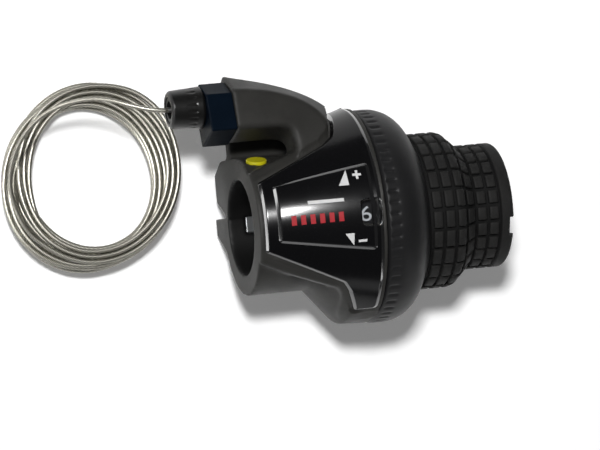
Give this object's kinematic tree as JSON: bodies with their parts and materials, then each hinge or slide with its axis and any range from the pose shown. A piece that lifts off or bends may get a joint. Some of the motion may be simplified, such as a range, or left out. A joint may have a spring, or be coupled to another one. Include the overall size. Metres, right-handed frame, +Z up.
{
  "type": "twist grip shifter",
  "caption": "Right-hand twist grip gear shifter for a flat handlebar, with a gear display, a knurled rubber grip, a barrel adjuster and a coiled inner cable.",
  "frame": {"origin": "on the handlebar's axis, at the clamp's inboard face", "axes": "+X outboard along the handlebar, +Y forward, +Z up through the gear display"},
  "size_m": [0.1159, 0.0637, 0.0515],
  "materials": {
    "housing_plastic": "moulded, fine grain",
    "cover_gloss": "polished black",
    "window_clear": "clear",
    "ring_plastic": "satin moulded",
    "grip_rubber": "soft matte",
    "collar_plastic": "moulded, dark navy",
    "barrel_plastic": "satin moulded",
    "plug_plastic": "yellow",
    "core_plastic": "acetal",
    "number_plastic": "black with pale numerals",
    "steel": "zinc plated",
    "black_steel": "black oxide",
    "spring_steel": "plain",
    "cable_steel": "stranded, drawn"
  },
  "bodies": {
    "housing": {"housing": "housing_plastic", "display_cover": "cover_gloss", "display_panel": "cover_gloss", "gear_window": "window_clear", "clamp_bolt": "black_steel", "clamp_washer": "black_steel", "clamp_nut": "steel", "cable_port_plug": "plug_plastic", "adjuster_collar": "collar_plastic", "cable_guide": "core_plastic", "inner_cable": "cable_steel", "thrust_washer": "core_plastic", "dust_seal": "grip_rubber", "retaining_clip": "spring_steel", "detent_spring": "spring_steel", "cable_lead": "cable_steel", "cable_coil": "cable_steel"},
    "grip": {"grip_core": "core_plastic", "cable_nipple": "steel", "detent_ring": "spring_steel", "number_ring": "number_plastic", "twist_ring": "ring_plastic", "grip_rubber": "grip_rubber"},
    "barrel": {"adjuster_barrel": "barrel_plastic", "barrel_seal": "grip_rubber"},
    "stop": {"casing_stop": "core_plastic"}
  },
  "joints": [
    {"name": "grip_twist", "type": "hinge", "parent": "housing", "child": "grip", "pos_m": [0, 0, 0], "axis": [1, 0, 0], "range_deg": [0, 60], "deforming": ["detent_spring"]},
    {"name": "adjuster_turn", "type": "hinge", "parent": "housing", "child": "barrel", "pos_m": [-0.0165, 0.02869, 0.00674], "axis": [-1, 0, 0], "range_deg": [0, 1800]},
    {"name": "stop_travel", "type": "slide", "parent": "housing", "child": "stop", "axis": [-1, 0, 0], "range_m": [0, 0.004]}
  ],
  "couplings": [
    {"joint": "adjuster_turn", "follows": "stop_travel", "rad_per_m": 7854}
  ]
}
